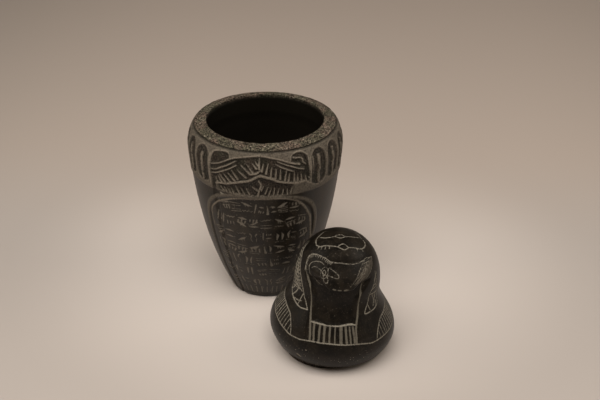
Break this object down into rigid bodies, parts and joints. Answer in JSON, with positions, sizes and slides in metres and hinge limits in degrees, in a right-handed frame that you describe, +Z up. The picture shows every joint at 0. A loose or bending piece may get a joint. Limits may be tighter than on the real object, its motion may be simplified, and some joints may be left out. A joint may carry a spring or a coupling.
{
  "type": "canopic jar",
  "caption": "Open carved dark stone canopic jar with its falcon-headed lid set down beside it; the jar tapers to a flat foot and the lid is a solid bell-shaped stopper.",
  "frame": {"origin": "centre of the jar's flat foot", "axes": "+Z up along the jar's axis, -Y towards the jar's winged front, +X to the right of that front; the lid stands in front and to the right"},
  "size_m": [0.1698, 0.203, 0.15],
  "materials": {
    "jar_stone": "waxed near-black stone, rough speckled lip, rubbed grey band, pale dust in the carving",
    "lid_stone": "satin near-black stone with crisp pale incised lines"
  },
  "bodies": {
    "root": {"jar": "jar_stone", "falcon_lid": "lid_stone"}
  },
  "joints": []
}
